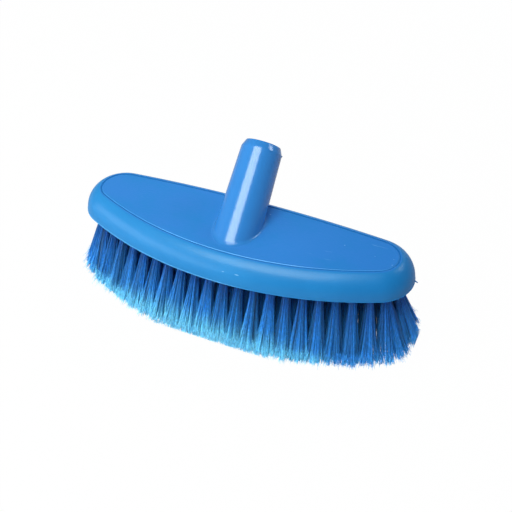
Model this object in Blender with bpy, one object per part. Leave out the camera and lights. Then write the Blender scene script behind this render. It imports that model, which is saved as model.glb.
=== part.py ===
"""Wash brush: an oval moulded block with a slanted handle socket and rows of bristle tufts.

Units are metres. X runs along the block, +Y is the back, towards which the socket leans, and +Z is up.
While the pieces are made, Z is 0 at the block's underside and the line Y = 0 joins the block's two
ends. An empty then carries everything so that the brush stands on Z = 0, centred on X and Y.

Each tuft of the outer row is a piece of its own, with its folded root in its own hole. The tufts of
each inner row are fused to a slice of the block's underside, which lies in a slot cut for it.
"""
import math

import bmesh
import bpy
from mathutils import Matrix, Vector

# Block outline at its widest level, seen from above
BLOCK_LENGTH = 0.270
FRONT_DEPTH = 0.054
BACK_DEPTH = 0.0353
END_RADIUS = 0.0299

# Block section, with insets measured inwards from the widest level
BLOCK_HEIGHT = 0.024
WIDEST_HEIGHT = 0.0056
TOP_INSET = 0.0124
UNDERSIDE_INSET = 0.0074
SHOULDER_FULLNESS = 1.34
GROOVE_WIDTH = 0.0011
GROOVE_DEPTH = 0.0008

# Handle socket, measured along its axis from the block's top
SOCKET_TILT = math.radians(45.0)
SOCKET_OFFSET = 0.00165
SOCKET_LENGTH = 0.0639
SOCKET_BASE_RADIUS = 0.01754
SOCKET_END_RADIUS = 0.0159
SOCKET_CHAMFER_LENGTH = 0.0054
SOCKET_CHAMFER_WIDTH = 0.0024
SOCKET_FILLET = 0.0028
BORE_RADIUS = 0.011
BORE_DEPTH = 0.050
BORE_LEAD_IN = 0.0008

# Rows of tufts, from the outer row inwards to the straight row along the middle
ROW_COUNT = 4
OUTER_TUFTS = 44
SECOND_FRONT_TUFTS = 20
SECOND_BACK_TUFTS = 18
THIRD_FRONT_TUFTS = 16
THIRD_BACK_TUFTS = 11
MIDDLE_TUFTS = 4
OUTER_ROW_START = 0.0026
HOLE_RADIUS = 0.0036
HOLE_DEPTH = 0.0095
HOLE_EDGE_WALL = 0.0026
ROW_WEB = 0.0018
SLICE_THICKNESS = 0.003
SLICE_BITE = 0.001

# Bristles, measured straight down from the block's underside
BRISTLE_LENGTH = 0.0497
BRISTLE_SPLAY = math.radians(19.0)
TUFT_FAN = 0.0066
TUFT_BAND = 0.0012
TIP_TRIM = 0.0005
STRAND_FILL = 0.85
OUTER_STRANDS = 6
INNER_STRANDS = 3

# Clearances
CLEARANCE = 0.0003
TIP_GAP = 0.0004

# Fineness of the faceted surfaces
END_STEPS = 6
SIDE_STEPS = 10
SHOULDER_STEPS = 5
SOCKET_SIDES = 32
FILLET_STEPS = 3
BORE_SIDES = 24
TUFT_SIDES = 6
SLICE_STEP = 0.004
REACH_STEP = 0.0005
LEAST_RADIUS = 0.0005
SMOOTH_ANGLE = math.radians(30.0)

HALF_LENGTH = BLOCK_LENGTH / 2
MIDDLE_INSET = (FRONT_DEPTH + BACK_DEPTH) / 2
MIDDLE_Y = (BACK_DEPTH - FRONT_DEPTH) / 2
SOCKET_AXIS = Vector((0.0, math.sin(SOCKET_TILT), math.cos(SOCKET_TILT)))
SOCKET_FOOT = Vector((0.0, MIDDLE_Y + SOCKET_OFFSET, BLOCK_HEIGHT))
SOCKET_ROOM = MIDDLE_INSET - TOP_INSET - GROOVE_WIDTH - SOCKET_OFFSET
FOOT_ROOM = SOCKET_ROOM - SOCKET_BASE_RADIUS / math.cos(SOCKET_TILT) - CLEARANCE
FOOT_FILLET = min(SOCKET_FILLET, FOOT_ROOM)
OUTER_ROW_INSET = UNDERSIDE_INSET + HOLE_EDGE_WALL + HOLE_RADIUS
ROW_STEP = (MIDDLE_INSET - OUTER_ROW_INSET) / (ROW_COUNT - 1)


def clear_scene():
    """Remove every object and mesh that the file starts with."""
    for item in list(bpy.data.objects):
        bpy.data.objects.remove(item)
    for mesh in list(bpy.data.meshes):
        bpy.data.meshes.remove(mesh)


def make_material(name, colour, roughness):
    """A Principled material with one colour."""
    material = bpy.data.materials.new(name)
    material.use_nodes = True
    shader = material.node_tree.nodes["Principled BSDF"]
    shader.inputs["Base Color"].default_value = (*colour, 1.0)
    shader.inputs["Roughness"].default_value = roughness
    shader.inputs["Metallic"].default_value = 0.0
    return material


def add_object(name, bm, material=None):
    """Turn a bmesh into a named object."""
    bmesh.ops.recalc_face_normals(bm, faces=bm.faces)
    mesh = bpy.data.meshes.new(name)
    bm.to_mesh(mesh)
    bm.free()
    if material:
        mesh.materials.append(material)
    item = bpy.data.objects.new(name, mesh)
    bpy.context.scene.collection.objects.link(item)
    return item


def apply_boolean(target, tool, operation):
    """Join or cut the target with the tool, keep the result and remove the tool."""
    modifier = target.modifiers.new(operation.title(), "BOOLEAN")
    modifier.operation = operation
    modifier.object = tool
    bpy.context.view_layer.update()
    depsgraph = bpy.context.evaluated_depsgraph_get()
    result = bpy.data.meshes.new_from_object(target.evaluated_get(depsgraph))
    target.modifiers.clear()
    spent = target.data
    target.data = result
    bpy.data.meshes.remove(spent)
    bpy.data.objects.remove(tool)


def shade(piece):
    """Shade a piece smooth, apart from its sharp edges."""
    piece.data.name = piece.name
    piece.data.shade_smooth()
    piece.data.set_sharp_from_angle(angle=SMOOTH_ANGLE)


def loft(bm, rings):
    """Close a body over rings of points that all have the same count."""
    first = [bm.verts.new(point) for point in rings[0]]
    cap = bm.faces.new(first)
    for ring in rings[1:]:
        cap = bmesh.ops.extrude_discrete_faces(bm, faces=[cap])["faces"][0]
        for vert, point in zip(cap.verts, ring):
            vert.co = point
    bm.faces.new(reversed(first))


def spokes_round(first, second, sides):
    """Evenly turned directions in the plane of two directions that are square to each other."""
    turns = [2 * math.pi * index / sides for index in range(sides)]
    return [math.cos(turn) * first + math.sin(turn) * second for turn in turns]


def prism(bm, place, radius, top, bottom):
    """Add an upright prism with a tuft's number of sides, moved and turned by a matrix."""
    spokes = spokes_round(Vector((1.0, 0.0, 0.0)), Vector((0.0, 1.0, 0.0)), TUFT_SIDES)
    levels = [Vector((0.0, 0.0, z)) for z in (top, bottom)]
    loft(bm, [[place @ (level + radius * spoke) for spoke in spokes] for level in levels])


def side_arc(inset, depth):
    """Shape of one long side of the outline at an inset.

    The side is one arc about a point on X = 0. It runs into an end arc whose centre lies on Y = 0.
    """
    bulge = depth - inset
    end_radius = max(END_RADIUS - inset, LEAST_RADIUS)
    end_centre = HALF_LENGTH - inset - end_radius
    radius = (end_centre ** 2 + bulge ** 2 - end_radius ** 2) / (2 * (bulge - end_radius))
    meeting = math.atan2(radius - bulge, end_centre)
    return radius, end_radius, end_centre, meeting


def quarter_outline(inset, depth):
    """Points and outward directions from an end of the block to the middle of one long side."""
    radius, end_radius, end_centre, meeting = side_arc(inset, depth)
    centre = depth - inset - radius
    quarter = []
    for step in range(END_STEPS):
        turn = meeting * step / END_STEPS
        out = Vector((math.cos(turn), math.sin(turn)))
        quarter.append((Vector((end_centre, 0.0)) + end_radius * out, out))
    for step in range(SIDE_STEPS + 1):
        turn = meeting + (math.pi / 2 - meeting) * step / SIDE_STEPS
        out = Vector((math.cos(turn), math.sin(turn)))
        quarter.append((Vector((0.0, centre)) + radius * out, out))
    return quarter


def closed_outline(inset):
    """Points and outward directions all the way round, from the middle of the front by the +X end."""
    flip_y = Vector((1.0, -1.0))
    flip_x = Vector((-1.0, 1.0))
    front = [(point * flip_y, out * flip_y) for point, out in quarter_outline(inset, FRONT_DEPTH)]
    right = list(reversed(front)) + quarter_outline(inset, BACK_DEPTH)[1:]
    left = [(point * flip_x, out * flip_x) for point, out in reversed(right)]
    return right + left[1:-1]


def outline(inset, height):
    """The block's closed outline at an inset and a height."""
    return [Vector((point.x, point.y, height)) for point, _ in closed_outline(inset)]


def block_rings():
    """The block's outlines from the underside, round the shoulder, to the groove round the flat top."""
    rings = [outline(UNDERSIDE_INSET, 0.0)]
    for step in range(SHOULDER_STEPS + 1):
        turn = math.pi / 2 * (1 - step / SHOULDER_STEPS)
        inset = TOP_INSET * (1 - math.sin(turn) ** SHOULDER_FULLNESS)
        height = WIDEST_HEIGHT + (BLOCK_HEIGHT - WIDEST_HEIGHT) * math.cos(turn)
        rings.append(outline(inset, height))
    rings.append(outline(TOP_INSET + GROOVE_WIDTH / 2, BLOCK_HEIGHT - GROOVE_DEPTH))
    rings.append(outline(TOP_INSET + GROOVE_WIDTH, BLOCK_HEIGHT))
    return rings


def socket_spokes(sides):
    """Directions round the socket's axis."""
    across = Vector((1.0, 0.0, 0.0))
    return spokes_round(across, SOCKET_AXIS.cross(across), sides)


def socket_rings():
    """Rings of the socket from inside the block, round the fillet at its foot, to its chamfered end."""
    spokes = socket_spokes(SOCKET_SIDES)
    body = SOCKET_LENGTH - SOCKET_CHAMFER_LENGTH
    taper = (SOCKET_BASE_RADIUS - SOCKET_END_RADIUS) / body
    walls = [(SOCKET_AXIS - taper * spoke).normalized() for spoke in spokes]
    starts = [SOCKET_FOOT + SOCKET_BASE_RADIUS * spoke for spoke in spokes]
    feet = [point - wall * ((point.z - BLOCK_HEIGHT) / wall.z) for point, wall in zip(starts, walls)]
    outer = []
    for index, foot in enumerate(feet):
        along = feet[(index + 1) % SOCKET_SIDES] - feet[index - 1]
        away = Vector((along.y, -along.x, 0.0)).normalized()
        away *= math.copysign(FOOT_FILLET, away.dot(foot - SOCKET_FOOT))
        outer.append(foot + away)
    upper = [foot + FOOT_FILLET * wall for foot, wall in zip(feet, walls)]
    rings = [[point - Vector((0.0, 0.0, FOOT_FILLET)) for point in outer]]
    for step in range(FILLET_STEPS + 1):
        share = step / FILLET_STEPS
        rings.append([
            first * (1 - share) ** 2 + foot * 2 * share * (1 - share) + last * share ** 2
            for first, foot, last in zip(outer, feet, upper)
        ])
    end_radius = SOCKET_END_RADIUS - SOCKET_CHAMFER_WIDTH
    for level, radius in ((body, SOCKET_END_RADIUS), (SOCKET_LENGTH, end_radius)):
        rings.append([SOCKET_FOOT + SOCKET_AXIS * level + radius * spoke for spoke in spokes])
    return rings


def bore_rings():
    """Rings of the tool that cuts the handle bore, from its blind end out through its mouth."""
    levels = [
        (SOCKET_LENGTH - BORE_DEPTH, BORE_RADIUS),
        (SOCKET_LENGTH - BORE_LEAD_IN, BORE_RADIUS),
        (SOCKET_LENGTH + BORE_LEAD_IN, BORE_RADIUS + 2 * BORE_LEAD_IN),
    ]
    spokes = socket_spokes(BORE_SIDES)
    centres = [(SOCKET_FOOT + SOCKET_AXIS * level, radius) for level, radius in levels]
    return [[centre + radius * spoke for spoke in spokes] for centre, radius in centres]


class RingRow:
    """A closed row of tufts that follows the outline all the way round."""

    def __init__(self, row):
        self.row = row
        self.round = closed_outline(OUTER_ROW_INSET + row * ROW_STEP)
        self.round.append(self.round[0])
        self.length = sum((end - start).length for (start, _), (end, _) in zip(self.round, self.round[1:]))

    def at(self, distance):
        """Point and outward direction at a distance from the middle of the front."""
        left = distance % self.length
        for (start, start_out), (end, end_out) in zip(self.round, self.round[1:]):
            length = (end - start).length
            if left <= length:
                return start.lerp(end, left / length), start_out.lerp(end_out, left / length).normalized()
            left -= length
        return self.round[-1]


class ArcRow:
    """An open row of tufts that runs level with one long side of the block."""

    def __init__(self, row, depth, side):
        self.row = row
        self.side = side
        outline_radius = side_arc(0.0, depth)[0]
        self.radius = outline_radius - OUTER_ROW_INSET - row * ROW_STEP
        self.centre = depth - outline_radius

    def at(self, distance):
        """Point and outward direction at a distance from the row's middle."""
        turn = distance / self.radius
        out = Vector((math.sin(turn), self.side * math.cos(turn)))
        return Vector((0.0, self.side * self.centre)) + self.radius * out, out


class MiddleRow:
    """The straight row of tufts along the middle of the block."""

    def __init__(self, row):
        self.row = row

    def at(self, distance):
        """Point and outward direction at a distance from the row's middle."""
        return Vector((distance, MIDDLE_Y)), Vector((0.0, -1.0))


class Tuft:
    """Where one tuft stands on the underside and how its bristles lean."""

    def __init__(self, curve, distance):
        point, out = curve.at(distance)
        self.distance = distance
        self.lean = BRISTLE_SPLAY * (1 - curve.row / (ROW_COUNT - 1))
        self.root = Vector((point.x, point.y, 0.0))
        self.out = Vector((out.x, out.y, 0.0)).normalized()
        self.axis = self.out * math.sin(self.lean) - Vector((0.0, 0.0, math.cos(self.lean)))
        self.tip = self.root + self.axis * (BRISTLE_LENGTH / math.cos(self.lean))
        self.fan = TUFT_FAN

    def matrix(self):
        """Places a shape made round the Z axis, its -Z along the bristles."""
        up = -self.axis
        along = Vector((-self.out.y, self.out.x, 0.0))
        turn = Matrix((along, up.cross(along), up)).transposed().to_4x4()
        return Matrix.Translation(self.root) @ turn


def row_line(curve, tufts, overhang):
    """Points and outward directions along a row, from before its first tuft to past its last."""
    start = tufts[0].distance - overhang
    end = tufts[-1].distance + overhang
    steps = math.ceil((end - start) / SLICE_STEP)
    return [curve.at(start + (end - start) * step / steps) for step in range(steps + 1)]


def ring_tufts(curve, count, offset):
    """Tufts spread evenly round a closed row, from an offset past the middle of the front."""
    return [Tuft(curve, offset + index * curve.length / count) for index in range(count)]


def fits(curve, distance, lines):
    """Whether an open row that ends at a distance keeps its web to the lines of the other rows."""
    point, out = curve.at(distance + HOLE_RADIUS)
    corners = [point + HOLE_RADIUS * out, point - HOLE_RADIUS * out]
    return all((corner - place).length >= HOLE_RADIUS + ROW_WEB for corner in corners for place in lines)


def open_tufts(curve, count, lines):
    """Tufts spread evenly along an open row, as far each way as it stays clear of the other rows."""
    reach = 0.0
    while fits(curve, reach + REACH_STEP, lines):
        reach += REACH_STEP
    return [Tuft(curve, reach * (2 * index / (count - 1) - 1)) for index in range(count)]


def tuft_rows():
    """The rows of tufts: for each, its name, its curve and its tufts in order along it."""
    outer = RingRow(0)
    rows = [("outer", outer, ring_tufts(outer, OUTER_TUFTS, OUTER_ROW_START))]
    second = RingRow(1)
    count = SECOND_FRONT_TUFTS + SECOND_BACK_TUFTS
    tufts = ring_tufts(second, count, (1 - SECOND_FRONT_TUFTS) / 2 * second.length / count)
    rows.append(("second_row_front", second, tufts[:SECOND_FRONT_TUFTS]))
    rows.append(("second_row_back", second, tufts[SECOND_FRONT_TUFTS:]))
    inner = [
        ("third_row_front", ArcRow(2, FRONT_DEPTH, -1), THIRD_FRONT_TUFTS),
        ("third_row_back", ArcRow(2, BACK_DEPTH, 1), THIRD_BACK_TUFTS),
        ("middle_row", MiddleRow(3), MIDDLE_TUFTS),
    ]
    lines = [point for point, _ in row_line(second, tufts, HOLE_RADIUS)]
    for name, curve, count in inner:
        tufts = open_tufts(curve, count, lines)
        rows.append((name, curve, tufts))
        lines += [point for point, _ in row_line(curve, tufts, HOLE_RADIUS)]
    everyone = [tuft for _, _, tufts in rows for tuft in tufts]
    for tuft in everyone:
        nearest = min((tuft.tip - other.tip).length for other in everyone if other is not tuft)
        tuft.fan = min(TUFT_FAN, nearest / 2 - TIP_GAP)
    return rows


def slice_rings(curve, tufts, growth, top):
    """Outline of the strip of block under one row, grown sideways by an amount, at two levels."""
    middle = row_line(curve, tufts, HOLE_RADIUS)
    width = HOLE_RADIUS + growth
    points = [point for point, _ in middle]
    points[0] = points[0] + (points[0] - points[1]).normalized() * growth
    points[-1] = points[-1] + (points[-1] - points[-2]).normalized() * growth
    edge = [point + width * out for point, (_, out) in zip(points, middle)]
    edge += reversed([point - width * out for point, (_, out) in zip(points, middle)])
    return [[Vector((point.x, point.y, level)) for point in edge] for level in (-growth, top)]


def make_block(rows, material):
    """The one-piece moulding: block, socket, blind handle bore, tuft holes and slots for the slices."""
    bm = bmesh.new()
    loft(bm, block_rings())
    block = add_object("block_with_socket", bm, material)
    bm = bmesh.new()
    loft(bm, socket_rings())
    apply_boolean(block, add_object("socket_body", bm), "UNION")
    bm = bmesh.new()
    loft(bm, bore_rings())
    apply_boolean(block, add_object("bore_tool", bm), "DIFFERENCE")
    bm = bmesh.new()
    _, _, outer = rows[0]
    for tuft in outer:
        prism(bm, tuft.matrix(), HOLE_RADIUS, HOLE_DEPTH, -HOLE_RADIUS)
    for _, curve, tufts in rows[1:]:
        loft(bm, slice_rings(curve, tufts, CLEARANCE, SLICE_THICKNESS + CLEARANCE))
    apply_boolean(block, add_object("hole_tool", bm), "DIFFERENCE")
    return block


def add_tuft(bm, tuft, top, strands):
    """Add one tuft: a root whose lower face is divided into wedges, each drawn out into a strand."""
    radius = HOLE_RADIUS - CLEARANCE
    part = bmesh.new()
    prism(part, Matrix.Identity(4), radius, top, -TUFT_BAND)
    root = min(part.faces, key=lambda face: face.calc_center_median().z)
    rim = list(root.verts)
    middle = part.verts.new((0.0, 0.0, -TUFT_BAND))
    bmesh.ops.delete(part, geom=[root], context="FACES_ONLY")
    span = TUFT_SIDES // strands
    wedges = []
    for start in range(0, TUFT_SIDES, span):
        corners = [rim[(start + index) % TUFT_SIDES] for index in range(span + 1)]
        wedges.append(part.faces.new([middle] + corners))
    reach = (BRISTLE_LENGTH + TIP_TRIM) / math.cos(tuft.lean) + tuft.fan * math.tan(tuft.lean)
    spread = tuft.fan / radius
    for wedge in bmesh.ops.extrude_discrete_faces(part, faces=wedges)["faces"]:
        ends = [Vector((vert.co.x * spread, vert.co.y * spread, -reach)) for vert in wedge.verts]
        centre = sum(ends, Vector()) / len(ends)
        for vert, end in zip(wedge.verts, ends):
            vert.co = centre + (end - centre) * STRAND_FILL
    bmesh.ops.transform(part, matrix=tuft.matrix(), verts=part.verts)
    cut = bmesh.ops.bisect_plane(
        part,
        geom=part.verts[:] + part.edges[:] + part.faces[:],
        plane_co=(0.0, 0.0, -BRISTLE_LENGTH),
        plane_no=(0.0, 0.0, -1.0),
        clear_outer=True,
    )
    rims = [item for item in cut["geom_cut"] if isinstance(item, bmesh.types.BMEdge)]
    bmesh.ops.holes_fill(part, edges=rims, sides=TUFT_SIDES)
    mesh = bpy.data.meshes.new("tuft")
    part.to_mesh(mesh)
    part.free()
    bm.from_mesh(mesh)
    bpy.data.meshes.remove(mesh)


def make_outer_tufts(tufts, material):
    """The outer row: each tuft by itself, with its folded root filling its hole."""
    pieces = []
    for number, tuft in enumerate(tufts, start=1):
        bm = bmesh.new()
        add_tuft(bm, tuft, HOLE_DEPTH - CLEARANCE, OUTER_STRANDS)
        pieces.append(add_object(f"outer_tuft_{number:02d}", bm, material))
    return pieces


def make_inner_row(name, curve, tufts, material):
    """One inner row: its tufts, fused to the slice of the block that backs them."""
    bm = bmesh.new()
    loft(bm, slice_rings(curve, tufts, 0.0, SLICE_THICKNESS))
    row = add_object(f"{name}_tufts", bm, material)
    bm = bmesh.new()
    for tuft in tufts:
        add_tuft(bm, tuft, SLICE_BITE, INNER_STRANDS)
    apply_boolean(row, add_object("tufts_tool", bm), "UNION")
    return row


def stand_on_floor(pieces):
    """Carry every piece on an empty that centres the brush and stands it on its bristle tips."""
    corners = [vert.co for piece in pieces for vert in piece.data.vertices]
    low = [min(corner[axis] for corner in corners) for axis in range(3)]
    high = [max(corner[axis] for corner in corners) for axis in range(3)]
    carrier = bpy.data.objects.new("brush", None)
    bpy.context.scene.collection.objects.link(carrier)
    carrier.location = (-(low[0] + high[0]) / 2, -(low[1] + high[1]) / 2, -low[2])
    for piece in pieces:
        piece.parent = carrier


def main():
    """Model the brush."""
    clear_scene()
    plastic = make_material("blue_polypropylene", (0.04, 0.26, 0.72), 0.38)
    fibre = make_material("blue_bristle", (0.05, 0.30, 0.72), 0.5)
    rows = tuft_rows()
    pieces = [make_block(rows, plastic)]
    pieces += make_outer_tufts(rows[0][2], fibre)
    pieces += [make_inner_row(name, curve, tufts, fibre) for name, curve, tufts in rows[1:]]
    for piece in pieces:
        shade(piece)
    stand_on_floor(pieces)


main()
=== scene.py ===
"""Looks of a wash brush: a satin polypropylene block with a handle socket, and rows of bristle tufts.

Units are metres. X runs along the block, +Y is its back, towards which the socket leans, and the
brush stands on Z = 0. A shape is first made in the block's own frame, where Z is 0 at the underside
and the line Y = 0 joins the block's two ends, and its mesh is then moved to where the frame holds it.
"""
import logging
import math
import random
from collections.abc import Iterable, Sequence
from dataclasses import dataclass, field
from enum import Enum, IntEnum

import bmesh
import bpy
from mathutils import Matrix, Vector


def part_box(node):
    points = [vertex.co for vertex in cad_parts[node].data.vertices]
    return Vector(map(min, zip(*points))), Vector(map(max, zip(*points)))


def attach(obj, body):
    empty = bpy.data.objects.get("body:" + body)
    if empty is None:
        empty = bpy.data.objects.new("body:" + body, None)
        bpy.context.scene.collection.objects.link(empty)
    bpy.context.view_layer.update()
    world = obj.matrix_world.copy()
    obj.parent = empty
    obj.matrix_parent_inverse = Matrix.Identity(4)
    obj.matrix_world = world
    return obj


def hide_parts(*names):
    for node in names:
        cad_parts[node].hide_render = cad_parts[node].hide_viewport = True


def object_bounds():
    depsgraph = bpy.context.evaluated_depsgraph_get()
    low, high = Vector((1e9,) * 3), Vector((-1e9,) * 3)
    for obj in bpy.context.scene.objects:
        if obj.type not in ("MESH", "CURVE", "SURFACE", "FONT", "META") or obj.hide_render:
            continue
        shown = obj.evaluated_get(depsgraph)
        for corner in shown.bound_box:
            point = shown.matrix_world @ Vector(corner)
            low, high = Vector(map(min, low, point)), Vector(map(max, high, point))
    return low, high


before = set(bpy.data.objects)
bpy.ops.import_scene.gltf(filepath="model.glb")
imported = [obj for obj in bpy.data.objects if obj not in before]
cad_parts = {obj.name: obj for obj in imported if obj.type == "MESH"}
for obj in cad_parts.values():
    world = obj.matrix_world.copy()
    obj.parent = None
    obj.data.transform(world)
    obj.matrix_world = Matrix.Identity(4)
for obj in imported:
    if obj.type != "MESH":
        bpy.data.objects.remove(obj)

log = logging.getLogger("wash_brush")
Colour = tuple[float, float, float]
Stretch = tuple[float, float, float]
Span = tuple[float, float]

CAD_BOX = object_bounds()
BODY = "root"
BLOCK_NODE = "block_with_socket"
UP = Vector((0.0, 0.0, 1.0))
ACROSS = Vector((1.0, 0.0, 0.0))
WHITE = (1.0, 1.0, 1.0, 1.0)
# Points closer together than this are one point
MERGE = 1e-6
# Edges that turn by more than this are shaded sharp
SHARP = math.radians(32.0)
# What a noise or a random share is on average
MEAN = 0.5
# Numbers of the Mix node's sockets for colours, which share their names with those for other values
MIX_FACTOR, MIX_FIRST, MIX_SECOND, MIX_RESULT = 0, 6, 7, 2


class Slot(Enum):
    """The record's material slots."""

    BLOCK = "block"
    BRISTLE = "bristle"


class Side(Enum):
    """The two long sides of the block, by the sign of their Y."""

    FRONT = -1
    BACK = 1


class Row(IntEnum):
    """The rows of tufts, from the outer one inwards."""

    OUTER = 0
    SECOND = 1
    THIRD = 2
    MIDDLE = 3


def only(kind: type, items: Iterable) -> list:
    """The items of one kind, such as vertices, among those that an operator gives back."""
    return [item for item in items if isinstance(item, kind)]


class Wire:
    """A value socket of a material, on which Python's operators add Math nodes."""

    def __init__(self, graph: "Graph", socket: bpy.types.NodeSocket) -> None:
        """Wrap one output socket of a graph.

        Args:
            graph: The graph that the socket belongs to.
            socket: The output socket.
        """
        self.graph = graph
        self.socket = socket

    def __add__(self, other: "Wire | float") -> "Wire":
        """Sum of two values."""
        return self.graph.maths("ADD", self, other)

    def __sub__(self, other: "Wire | float") -> "Wire":
        """Difference of two values."""
        return self.graph.maths("SUBTRACT", self, other)

    def __rsub__(self, other: float) -> "Wire":
        """Difference of a number and this value."""
        return self.graph.maths("SUBTRACT", other, self)

    def __mul__(self, other: "Wire | float") -> "Wire":
        """Product of two values."""
        return self.graph.maths("MULTIPLY", self, other)

    def __truediv__(self, other: "Wire | float") -> "Wire":
        """Quotient of two values."""
        return self.graph.maths("DIVIDE", self, other)

    __radd__ = __add__
    __rmul__ = __mul__

    def either(self, other: "Wire | float") -> "Wire":
        """The larger of two values."""
        return self.graph.maths("MAXIMUM", self, other)

    def over(self, low: "Wire | float", high: "Wire | float") -> "Wire":
        """A smooth mask that rises from 0 at one value to 1 at another.

        Args:
            low: The value where the mask leaves 0.
            high: The value where the mask reaches 1.

        Returns:
            The mask.
        """
        node = self.graph.node(
            "ShaderNodeMapRange",
            {"interpolation_type": "SMOOTHSTEP"},
            {"Value": self, "From Min": low, "From Max": high},
        )
        return Wire(self.graph, node.outputs["Result"])


class Graph:
    """The nodes of one procedural material, or of the world."""

    def __init__(self, owner: bpy.types.Material | bpy.types.World) -> None:
        """Switch the nodes on.

        Args:
            owner: The material or the world.
        """
        self.owner = owner
        owner.use_nodes = True
        self.tree = owner.node_tree

    @property
    def shader(self) -> bpy.types.Node:
        """The material's Principled shader."""
        return self.tree.nodes["Principled BSDF"]

    def node(self, kind: str, settings: dict | None = None, inputs: dict | None = None) -> bpy.types.Node:
        """Add a node.

        Args:
            kind: The node's type.
            settings: Values of the node's own settings, set first.
            inputs: Values, sockets or wires for its inputs, by name or number.

        Returns:
            The new node.
        """
        node = self.tree.nodes.new(kind)
        for name, value in (settings or {}).items():
            if name == "stops":
                self.set_stops(node.color_ramp.elements, value)
            else:
                setattr(node, name, value)
        for name, value in (inputs or {}).items():
            self.feed(node.inputs[name], value)
        return node

    def set_stops(self, elements: bpy.types.ColorRampElements, stops: Sequence[tuple[float, Colour]]) -> None:
        """Give a ramp its stops.

        Args:
            elements: The ramp's elements, two at first.
            stops: Places from 0 to 1, in order, with their colours.
        """
        for _ in stops[2:]:
            elements.new(1.0)
        for element, (place, colour) in zip(elements, stops):
            element.position = place
            element.color = (*colour, 1.0)

    def feed(
        self, target: bpy.types.NodeSocket, value: "Wire | bpy.types.NodeSocket | float | Sequence[float]"
    ) -> None:
        """Link or set one input.

        Args:
            target: The input socket.
            value: What it takes.
        """
        if isinstance(value, Wire):
            value = value.socket
        if isinstance(value, bpy.types.NodeSocket):
            self.tree.links.new(value, target)
        else:
            target.default_value = value

    def maths(self, operation: str, first: "Wire | float", second: "Wire | float") -> Wire:
        """Add a Math node.

        Args:
            operation: The node's operation.
            first: The first value.
            second: The second value.

        Returns:
            The result.
        """
        node = self.node("ShaderNodeMath", {"operation": operation}, {0: first, 1: second})
        return Wire(self, node.outputs[0])

    def place(self, stretch: Stretch = (1.0, 1.0, 1.0)) -> bpy.types.NodeSocket:
        """The place on the object, stretched along its axes.

        Args:
            stretch: Factors along X, Y and Z.

        Returns:
            The vector socket.
        """
        inputs = {"Vector": self.node("ShaderNodeTexCoord").outputs["Object"], "Scale": stretch}
        return self.node("ShaderNodeMapping", {"vector_type": "POINT"}, inputs).outputs["Vector"]

    def noise(self, pitch: float, detail: float = 2.0, stretch: Stretch = (1.0, 1.0, 1.0)) -> Wire:
        """Noise on the place on the object.

        Args:
            pitch: Distance from one blotch to the next, in metres.
            detail: Number of finer layers.
            stretch: Factors along X, Y and Z on the place.

        Returns:
            The noise, about 0.5 on average.
        """
        inputs = {"Vector": self.place(stretch), "Scale": 1.0 / pitch, "Detail": detail}
        return Wire(self, self.node("ShaderNodeTexNoise", {"noise_dimensions": "3D"}, inputs).outputs["Fac"])

    def attribute(self, name: str) -> Wire:
        """A value that the mesh holds at its points.

        Args:
            name: The attribute's name.

        Returns:
            The value.
        """
        node = self.node("ShaderNodeAttribute", {"attribute_type": "GEOMETRY", "attribute_name": name})
        return Wire(self, node.outputs["Fac"])

    def blend(
        self,
        factor: "Wire | float",
        first: "Colour | bpy.types.NodeSocket",
        second: "Colour | bpy.types.NodeSocket",
        mode: str = "MIX",
    ) -> bpy.types.NodeSocket:
        """Mix two colours.

        Args:
            factor: Share of the second colour.
            first: The first colour.
            second: The second colour.
            mode: The blend type.

        Returns:
            The colour socket.
        """
        pair = [(*colour, 1.0) if isinstance(colour, tuple) else colour for colour in (first, second)]
        settings = {"data_type": "RGBA", "blend_type": mode}
        inputs = {MIX_FACTOR: factor, MIX_FIRST: pair[0], MIX_SECOND: pair[1]}
        return self.node("ShaderNodeMix", settings, inputs).outputs[MIX_RESULT]

    def bump(self, height: Wire, depth: float) -> None:
        """Feed a relief to the shader's normal.

        Args:
            height: The relief, 0 at its lowest and 1 at its highest.
            depth: Distance from lowest to highest, in metres.
        """
        node = self.node("ShaderNodeBump", None, {"Strength": 1.0, "Distance": depth, "Height": height})
        self.feed(self.shader.inputs["Normal"], node.outputs["Normal"])

    def mark(self, centre: Vector, size: Vector, turn: float, core: float = 0.5) -> Wire:
        """A mask for one small mark on the surface.

        Args:
            centre: Its place on the object.
            size: Its half lengths along X, Y and Z, before it is turned.
            turn: Its turn about Z.
            core: Share of it, from its middle, that does not fade.

        Returns:
            The mask, 1 on the mark.
        """
        coordinates = self.node("ShaderNodeTexCoord").outputs["Object"]
        inputs = {"Vector": coordinates, "Location": centre, "Rotation": (0.0, 0.0, turn), "Scale": size}
        local = self.node("ShaderNodeMapping", {"vector_type": "TEXTURE"}, inputs).outputs["Vector"]
        length = self.node("ShaderNodeVectorMath", {"operation": "LENGTH"}, {0: local})
        return 1.0 - Wire(self, length.outputs["Value"]).over(core, 1.0)

    def seen(self, mirrored: float) -> Wire:
        """Share of a background's own white for the rays that look at it.

        Args:
            mirrored: The share for rays that are mirrored by the brush.

        Returns:
            The share, 1 for rays that look straight or through glass.
        """
        rays = self.node("ShaderNodeLightPath").outputs
        names = ("Is Camera Ray", "Is Glossy Ray", "Is Transmission Ray")
        camera, glossy, through = (Wire(self, rays[name]) for name in names)
        return camera.either(glossy * mirrored).either(through)

    def finish(self, **inputs: "Wire | bpy.types.NodeSocket | float | Sequence[float]") -> bpy.types.Material:
        """Feed the shader's inputs.

        Args:
            **inputs: Values by the input's name in lower case, with _ for a space.

        Returns:
            The material.
        """
        names = {socket.name.lower().replace(" ", "_"): socket for socket in self.shader.inputs}
        for name, value in inputs.items():
            self.feed(names[name], value)
        return self.owner


@dataclass(frozen=True)
class Mark:
    """A small pale spot on the moulding. Those on the front rim are scuffs; those on the flat top are painted
    highlights on small nicks and specks.
    """

    x: float
    y: float
    z: float
    length: float
    width: float
    turn: float = 0.0


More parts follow.
